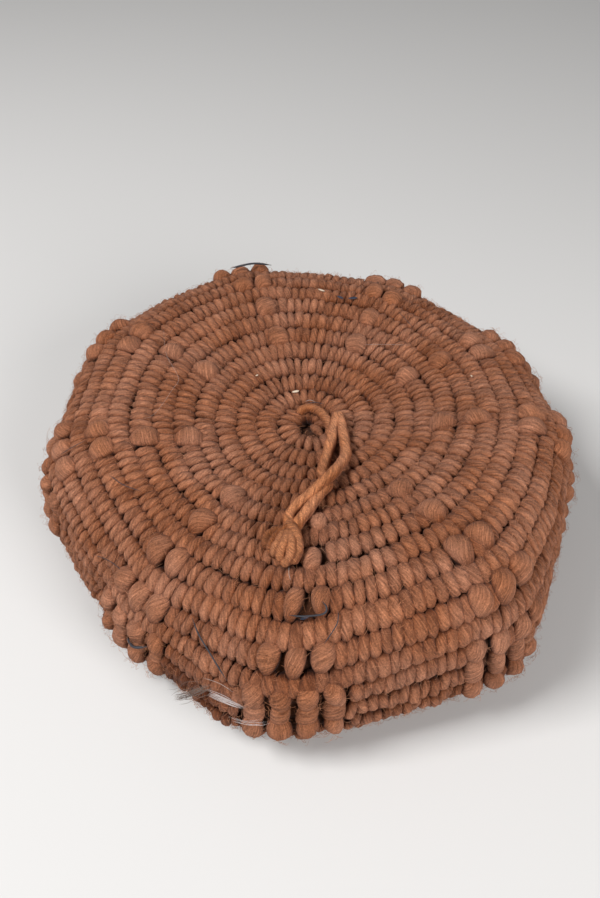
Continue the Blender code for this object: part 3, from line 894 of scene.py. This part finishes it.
# %% Lay the dark core
def core_mesh():
    """Ribbed outside following the spiral, then a plain inside, as one closed grid."""
    columns = 192
    theta = np.arange(columns) * FULL_TURN / columns
    steps = np.linspace(0.0, ROWS - 0.25, 150)
    turn = np.broadcast_to(steps, (columns, len(steps)))
    heading = np.broadcast_to(theta[:, None], turn.shape)
    phase = (turn + 0.5 - heading / FULL_TURN - wobble(turn, heading)) % 1.0
    rib = np.cos(FULL_TURN * phase)
    dimple = 0.0016 * (1.0 - smooth_step(turn / 0.9))
    outside = -0.0020 + 0.0007 * rib - dimple
    normal = cap_frame(heading, turn)[2]
    normal = np.where((turn < 1e-6)[..., None], (0.0, 0.0, 1.0), normal)
    outer = cap_point(heading, turn) + normal * outside[..., None]
    inner = cap_point(heading, turn) - normal * (WALL - 0.0018)
    skin = np.concatenate([outer, inner[:, ::-1]], axis=1)
    rows = skin.shape[1] - 2
    verts = np.concatenate([skin[:, 1:-1].reshape(-1, 3), skin[:1, 0], skin[:1, -1]])
    i = np.arange(columns) * rows
    n = np.roll(i, -1)
    j = np.arange(rows - 1)[None, :]
    quads = np.stack([i[:, None] + j, i[:, None] + j + 1, n[:, None] + j + 1, n[:, None] + j],
                     axis=-1).reshape(-1, 4)
    top = np.full(columns, columns * rows)
    tris = np.concatenate([np.stack([i, n, top], axis=-1),
                           np.stack([n + rows - 1, i + rows - 1, top + 1], axis=-1)])
    uv = np.stack([np.arctan2(verts[:, 1], verts[:, 0]) / FULL_TURN, verts[:, 2] * 10.0], -1)
    return make_mesh("core", verts, quads, tris, uv, np.full(len(verts), 0.5),
                     np.zeros(len(verts)))


place("core", core_mesh(), core_shade_yarn, "brown_yarn")

# %% [markdown]
# ## Bobbles
# A bobble is several loops of yarn worked into one place and drawn together: a fat bud, wider
# than long strands would be, with its loops showing as soft lobes that slant across it. Each is
# a grid of angle by way along the bud. Its radius follows a drop's profile, and a smaller wave
# of the angle, turning as it goes, makes the lobes. All are drawn in one go, and each gets its
# own place, size and slant.

# %% Raise the bobbles
BOBBLE_LOBES = 9
BOBBLE_LENGTH = 0.0142


def bobble_mesh():
    """Buds along the outward line: a drop's profile times a slanting wave for the loops.

    The radius is the square root of s times (1 - s) to the power 0.75, with s running from the
    inner end to the outer, so the bud is fattest before its middle and tapers outward.
    """
    count = len(bobbles)
    stations, sides = 12, 24
    heading, turn = bobbles[:, 0], bobbles[:, 1]
    turn = turn + wobble(turn, heading) + rng.normal(0.0, 0.03, count)
    s = np.linspace(0.03, 0.97, stations)[None, :]
    lean = rng.normal(0.0, 0.14, count)
    length = BOBBLE_LENGTH * rng.normal(1.0, 0.05, count)
    narrow = np.where(near_wedge(heading, 20.0), 0.83, 1.0)
    narrow = np.where(bobbles[:, 2] >= 14, 0.86, narrow)
    wide = BOBBLE_WIDTH * narrow * rng.normal(1.08, 0.05, count)
    high = BOBBLE_WIDTH * narrow * rng.normal(0.98, 0.06, count)
    along, outward, normal = cap_frame(heading, turn)
    axis = unit(outward + along * lean[:, None])
    side = unit(np.cross(normal, axis))
    middle = cap_point(heading, turn) + normal * (BOBBLE_RISE - 0.0001)
    drop = -0.0022 * np.abs(2.0 * s - 1.0) ** 2.0
    line = (middle[:, None] + axis[:, None] * ((s - 0.46) * length[:, None])[..., None]
            + normal[:, None] * drop[..., None])
    fill = s ** 0.5 * (1.0 - s) ** 0.75 / 0.431
    angle = np.arange(sides) * FULL_TURN / sides
    phase = rng.random(count) * FULL_TURN
    slant = rng.normal(1.0, 0.35, count)
    spin = angle[None, None, :] + (slant[:, None] * s)[..., None]
    lobes = 1.0 + 0.030 * np.cos(BOBBLE_LOBES * spin + phase[:, None, None])
    uneven = (1.0 + 0.05 * np.cos(2.0 * spin + phase[:, None, None] * 1.7)
              + 0.045 * np.cos(3.0 * spin - phase[:, None, None] * 2.3))
    swell = lobes * uneven + rng.normal(0.0, 0.012, (count, stations, sides))
    rings = carry_rings(line, side[:, None], normal[:, None], fill * wide[:, None] / 2.0,
                        fill * high[:, None] / 2.0, sides, swell).reshape(count, -1, 3)
    tips = line[:, [0, -1]] + axis[:, None] * np.array([-0.0004, 0.0004])[None, :, None]
    verts = np.concatenate([rings, tips], axis=1).reshape(-1, 3)
    quads, tris = strand_faces(count, stations, sides)
    u, w = ring_uv(count, np.linspace(0.05, 0.95, stations), sides)
    # painted shade: the bobble's lower flanks, its ends and its tips are darker
    flank_shade = np.clip(1.0 - np.sin(angle) * 1.25, 0.0, 1.0) ** 1.7
    ends = np.abs(2.0 * s - 0.9) ** 3.0
    hollow_shade = np.maximum(flank_shade[None, None, :] * 0.9, 0.7 * ends[..., None])
    hollow_shade = np.broadcast_to(hollow_shade, (count, stations, sides))
    deep = np.concatenate([hollow_shade.reshape(count, -1), np.full((count, 2), 0.8)], axis=1)
    tone = np.repeat(0.5 + 0.5 * rng.random(count), stations * sides + 2)
    lay = np.where(near_wedge(heading, 40.0), 0.75, 0.1) + rng.normal(0.0, 0.25, count)
    turned_u = 0.5 + (u - 0.5) * np.cos(lay)[:, None] - (w - 0.5) * np.sin(lay)[:, None]
    turned_w = 0.5 + (u - 0.5) * np.sin(lay)[:, None] + (w - 0.5) * np.cos(lay)[:, None]
    uv = np.stack([turned_u.ravel(), turned_w.ravel()], axis=-1)
    return make_mesh("bobbles", verts, quads, tris, uv, tone, deep.ravel())


place("bobbles", bobble_mesh(), bobble_yarn, "brown_yarn")

# %% [markdown]
# ## Inside of the cap
# From below the back of the work shows: the same coil with flatter wraps that lean the other
# way. They are made by the same function as the outer stitches, turned to face inward.

# %% Wrap the inside
wrap("inner_stitches_top", True, 0.0, 12.0, -1.0, 6)
wrap("inner_stitches_side", True, 12.0, ROWS - 0.9, -1.0, 6)

# %% [markdown]
# ## Rim
# The last turn is bound over the edge, so short strands run from the outside under the rim and
# up the inside. Each is a strand through seven points of the rim's section.

# %% Bind the rim
RIM_STRANDS = 150
# turns from the hole and height off the cap, then way inward and up from the foot
RIM_OUTSIDE = ((ROWS - 0.62, -0.0012), (ROWS - 0.34, -0.0004))
RIM_UNDER = ((0.0004, 0.0017), (0.0032, 0.0016), (0.0052, 0.0034), (0.0050, 0.0062),
             (0.0030, 0.0084))


def rim_mesh():
    """Strands through points of the rim's section: side, turn-in, foot, roll and inside."""
    theta = np.arange(RIM_STRANDS) * FULL_TURN / RIM_STRANDS
    foot = cap_point(theta, float(ROWS))
    inward = unit((np.array([HOLE_X, HOLE_Y, 0.0]) - foot) * (1.0, 1.0, 0.0))
    up = np.array([0.0, 0.0, 1.0])
    lean = np.linspace(-0.5, 0.5, 7)[None, :, None] * 0.0026
    along = cap_frame(theta, ROWS - 0.1)[0]
    outer = [cap_point(theta, turn) + cap_frame(theta, turn)[2] * height
             for turn, height in RIM_OUTSIDE]
    inner = [foot + inward * way_in + up * way_up for way_in, way_up in RIM_UNDER]
    line = np.stack(outer + inner, axis=1) + lean * along[:, None]
    ahead = unit(np.gradient(line, axis=1))
    side = along[:, None] - ahead * np.sum(ahead * along[:, None], axis=-1, keepdims=True)
    side = unit(side)
    above = unit(np.cross(ahead, side))
    fill = np.array((0.55, 0.9, 1.0, 1.0, 1.0, 0.9, 0.55))[None, :]
    wide = 0.0023 * fill * rng.normal(1.0, 0.05, (RIM_STRANDS, 1))
    high = 0.0015 * fill * np.ones((RIM_STRANDS, 1))
    return strand_mesh("rim_binding", line, side, above, wide, high, 0.25,
                       rng.random(RIM_STRANDS), np.zeros(line.shape[:2]), 8)


place("rim_binding", rim_mesh(), stitch_yarn, "brown_yarn")

# %% [markdown]
# ## Fuzz
# Wool is hairy: short ends stand out of every strand, lie over the next one and blur the
# edges. Thousands of hairs, each a thin closed strand of four stations and three sides, are
# scattered over the coil and the bobbles. They start in the work, rise in a low arch in any
# direction and come down again. They are too thin to see one by one, but they soften every
# crease. A second, finer lot stands up higher and blurs the outline.

# %% Scatter the fuzz
def fuzz_mesh(name, count, longest, thin, height):
    """Low arches: start + direction * length * t + side * curl * t squared + normal * sine."""
    number = rng.uniform(COUNT[0], np.interp(ROWS - 0.8, COUNT_TURN, COUNT), count)
    turn = np.interp(number, COUNT, COUNT_TURN)
    heading = FULL_TURN * (turn + 0.5)
    turn = np.clip(turn + rng.uniform(-0.42, 0.42, count), 0.6, ROWS - 0.4)
    along, outward, normal = cap_frame(heading, turn)
    root = rng.uniform(0.0006, 0.0014, count) + bobble_height(turn, heading)
    start = cap_point(heading, turn) + normal * root[:, None]
    way = rng.uniform(0.0, FULL_TURN, count)
    ahead = along * np.cos(way)[:, None] + outward * np.sin(way)[:, None]
    aside = outward * np.cos(way)[:, None] - along * np.sin(way)[:, None]
    length = rng.uniform(0.35, 1.0, count) * longest
    curl = rng.normal(0.0, 0.35, count) * length
    t = np.linspace(0.0, 1.0, 4)
    arch = rng.uniform(0.5, 1.0, count)[:, None] * height * np.sin(t * 2.7)[None, :]
    line = (start[:, None] + ahead[:, None] * (length[:, None] * t)[..., None]
            + aside[:, None] * (curl[:, None] * t ** 2)[..., None]
            + normal[:, None] * arch[..., None])
    line[..., 2] = np.maximum(line[..., 2], 0.0003)
    side, up = line_frames(line, np.array([0.13, 0.21, 0.97]))
    radius = np.broadcast_to(thin * np.array((1.0, 1.0, 0.9, 0.5)), (count, 4))
    return strand_mesh(name, line, side, up, radius, radius, 0.1, rng.random(count),
                       np.zeros((count, 4)), 3)


fuzz_yarn = yarn_finish("fuzz yarn", (0.55, 0.25, 0.13), (0.26, 0.10, 0.052), PAINTED_SHADE_BROWN,
                        2.0, 2.0, 0.0, 0.0, 0.0)
place("fuzz", fuzz_mesh("fuzz", 7500, 0.0045, 0.000060, 0.0012), fuzz_yarn, "brown_yarn")
place("loose_fuzz", fuzz_mesh("loose_fuzz", 5500, 0.0036, 0.000045, 0.0024), fuzz_yarn,
      "brown_yarn")

# %% [markdown]
# ## Stray threads and lint
# A worn cap picks things up. A blue-black thread lies hooked round the first bobbles of the
# near wedge, white and grey lint clings to the near left edge, a few long hairs cross the
# stitches, and chips of chaff and blue lie on the top. Each thread is led through points on the
# cap, given as heading, turns from the hole and height, and a tuft is many hairs strewn round
# one such line.

# %% Lay the stray threads
# name, colour, then for each thread its radius in millimetres and its points
THREADS = {
    "dark_threads": ((0.024, 0.023, 0.03), (
        (0.36, ((-94.4, 10.72, 2.6), (-92.5, 10.8, 4.0), (-90.5, 10.85, 4.4), (-87.6, 10.88, 4.0),
         (-87.0, 10.7, 4.4), (-88.0, 10.42, 3.6))),
        (0.2, ((-85.0, 10.85, 2.6), (-85.0, 11.1, 3.2), (-85.6, 11.35, 3.2), (-88.0, 11.8, 2.4))),
        (0.14, ((-171.0, 11.9, 2.8), (-170.2, 11.2, 3.4), (-170.5, 10.5, 2.8))),
        (0.11, ((57.0, 8.6, 2.6), (53.0, 8.3, 3.4), (48.0, 8.1, 2.4))),
        (0.13, ((-146.0, 12.8, 2.8), (-141.0, 12.2, 3.4), (-135.5, 11.8, 2.6))),
        (0.16, ((-158.0, 10.15, 2.6), (-153.0, 9.8, 3.2), (-148.5, 9.3, 2.4))),
        (0.3, ((-115.0, 11.8, 2.4), (-112.0, 12.3, 3.4), (-108.5, 12.75, 3.6),
         (-106.0, 13.15, 3.4), (-104.5, 13.5, 2.6))),
        (0.6, ((-129.5, 14.9, 2.6), (-126.2, 14.6, 5.2), (-123.5, 14.3, 3.0))),
        (0.14, ((100.0, 1.2, 2.4), (80.0, 1.15, 3.4), (60.0, 1.3, 2.6))),
        (0.5, ((112.0, 11.3, 5.0), (106.0, 11.2, 5.6), (101.0, 11.3, 4.6))),
    )),
    "pale_hairs": ((0.36, 0.3, 0.27), (
        (0.05, ((145.5, 9.0, 2.4), (155.0, 7.9, 3.4), (163.5, 6.8, 3.0), (170.0, 6.85, 3.4),
         (-176.0, 7.5, 3.2), (-174.0, 8.2, 2.4))),
        (0.1, ((-95.5, 9.0, 2.8), (-95.0, 9.4, 4.6), (-94.2, 9.7, 6.0))),
        (0.05, ((62.0, 5.6, 2.6), (52.0, 6.1, 3.6), (43.0, 6.9, 3.0))),
        (0.09, ((-109.0, 13.85, 3.0), (-105.5, 13.65, 4.0), (-103.0, 13.8, 3.4))),
        (0.12, ((103.0, 1.22, 3.4), (92.0, 1.25, 3.8), (80.0, 1.22, 3.2))),
    )),
}
# name, colour, then for each tuft its hairs, spread, thickest hair and middle line
LINT_TUFTS = {
    "white_lint": ((0.52, 0.45, 0.43), (
        (18, 1.0, 0.1, ((-107.5, 14.45, 3.2), (-105.5, 14.2, 4.8), (-103.6, 14.15, 5.2),
         (-102.0, 14.35, 3.8))),
        (6, 1.0, 0.08, ((-103.0, 15.3, 3.6), (-101.0, 15.0, 5.6), (-99.5, 14.9, 6.0),
         (-98.0, 14.9, 4.4))),
    )),
    "grey_lint": ((0.15, 0.108, 0.088), (
        (26, 1.5, 0.09, ((-108.0, 14.2, 2.8), (-109.5, 14.5, 5.2), (-111.0, 14.9, 7.0),
         (-112.6, 15.3, 8.4))),
    )),
}
# heading in degrees, turns from the hole, length and width in millimetres, whether pale
FLECKS = (
    (86.0, 8.9, 3.4, 1.2, True), (111.0, 2.1, 3.2, 1.4, True), (79.0, 8.52, 3.6, 1.5, False),
    (74.5, 8.62, 4.4, 1.6, False), (-91.5, 10.84, 3.0, 1.2, False), (13.0, 8.3, 1.4, 0.8, True),
    (24.0, 9.6, 1.2, 0.7, True), (134.0, 3.9, 1.3, 0.8, True),
)


def thread_mesh(name, threads):
    """Thin closed strands along soft lines through their points, each with its own radius."""
    lines = np.stack([smooth_line(on_cap(np.array(points)), 26) for _, points in threads])
    side, up = line_frames(lines, np.array([0.05, 0.02, 1.0]))
    thin = np.array([radius for radius, _ in threads])[:, None] / 1000.0
    taper = np.clip(3.0 * (1.0 - np.abs(np.linspace(-1.0, 1.0, 26))), 0.3, 1.0)[None, :]
    radius = np.broadcast_to(thin * taper, lines.shape[:2])
    return strand_mesh(name, lines, side, up, radius, radius, 0.2, np.full(len(lines), 0.5),
                       np.zeros(lines.shape[:2]), 5)


def lint_mesh(name, tufts):
    """Tufts of fine hairs: each is its tuft's line, moved aside, and a little at every point."""
    threads = []
    for hairs, spread, thickest, points in tufts:
        for _ in range(hairs):
            strewn = rng.normal(0.0, 1.0, 3) + rng.normal(0.0, 0.25, (len(points), 3))
            table = np.array(points) + strewn * (0.5 * spread, 0.07 * spread, 0.3 * spread)
            table[:, 2] = np.maximum(table[:, 2], 2.2)
            threads.append((rng.uniform(0.4, 1.0) * thickest, table))
    return thread_mesh(name, threads)


def fleck_mesh(name, pale):
    """Small flat chips: short strands, wider than high, in any direction."""
    chosen = np.array([row[:4] for row in FLECKS if row[4] is pale])
    heading, turn = np.radians(chosen[:, 0]), chosen[:, 1]
    along, outward, normal = cap_frame(heading, turn)
    way = rng.uniform(-0.5, 0.5, len(chosen))[:, None]
    ahead = along * np.cos(way) + outward * np.sin(way)
    middle = cap_point(heading, turn) + normal * 0.0023
    v = np.array((-0.45, -0.15, 0.2, 0.45))
    line = middle[:, None] + ahead[:, None] * (v * chosen[:, 2:3] / 1000.0)[..., None]
    side = np.broadcast_to(unit(np.cross(ahead, normal))[:, None], line.shape)
    up = np.broadcast_to(normal[:, None], line.shape)
    wide = chosen[:, 3:4] / 2000.0 * np.array((0.5, 1.0, 0.8, 0.4))
    # the end points lie 0.2 mm past the end rings
    reach = 0.0002 / (chosen[:, 2:3] / 1000.0 * (v[1] - v[0], v[3] - v[2]))[..., None]
    return strand_mesh(name, line, side, up, wide, wide * 0.35, reach, np.full(len(chosen), 0.5),
                       np.zeros(line.shape[:2]), 6)


for thread_name, (colour, threads) in THREADS.items():
    place(thread_name, thread_mesh(thread_name, threads),
          plain_finish(thread_name, colour, 0.6), "brown_yarn")
for tuft_name, (colour, tufts) in LINT_TUFTS.items():
    place(tuft_name, lint_mesh(tuft_name, tufts),
          plain_finish(tuft_name, colour, 0.8), "brown_yarn")
for piece_name, pale, finish in (
        ("pale_flecks", True, plain_finish("chaff", (0.62, 0.50, 0.38), 0.7)),
        ("dark_flecks", False, plain_finish("blue shreds", (0.022, 0.030, 0.055), 0.6))):
    place(piece_name, fleck_mesh(piece_name, pale), finish, "brown_yarn")

# %% [markdown]
# ## Floor and light
# A plain pale floor and soft studio light: a broad lamp from above on each side of the camera,
# and a pale world that fills the rest.

# %% Set the floor and the lamps
FLOOR_REACH = 4.0
FLOOR_DROP = 0.0005       # a hair's breadth under the rim, so that no two faces share a place

floor_mesh = bpy.data.meshes.new("floor")
floor_mesh.from_pydata([(x * FLOOR_REACH, y * FLOOR_REACH, -FLOOR_DROP)
                        for x, y in ((-1, -1), (1, -1), (1, 1), (-1, 1))], [], [(0, 1, 2, 3)])
floor = bpy.data.objects.new("floor", floor_mesh)
floor_mesh.materials.append(plain_finish("floor finish", (0.62, 0.61, 0.60), 0.9))
bpy.context.scene.collection.objects.link(floor)


def soft_lamp(name, place_at, aim, size, power):
    """A square area lamp that looks at a point."""
    data = bpy.data.lights.new(name, "AREA")
    data.size = size
    data.energy = power
    lamp = bpy.data.objects.new(name, data)
    ahead = unit(np.array(aim) - np.array(place_at))
    lamp.location = place_at
    lamp.rotation_euler = (math.acos(-ahead[2]), 0.0, math.atan2(ahead[0], -ahead[1]) + math.pi)
    bpy.context.scene.collection.objects.link(lamp)


soft_lamp("left lamp", (-0.64, -0.22, 0.95), (0.0, 0.0, 0.03), 0.45, 13.3)
soft_lamp("right lamp", (0.68, -0.78, 0.58), (0.0, 0.0, 0.03), 0.6, 10.4)
world = bpy.data.worlds.new("studio")
world.use_nodes = True
world.node_tree.nodes["Background"].inputs["Color"].default_value = (1.0, 1.0, 1.0, 1.0)
world.node_tree.nodes["Background"].inputs["Strength"].default_value = 0.19
bpy.context.scene.world = world
bpy.context.scene.view_settings.view_transform = "Standard"
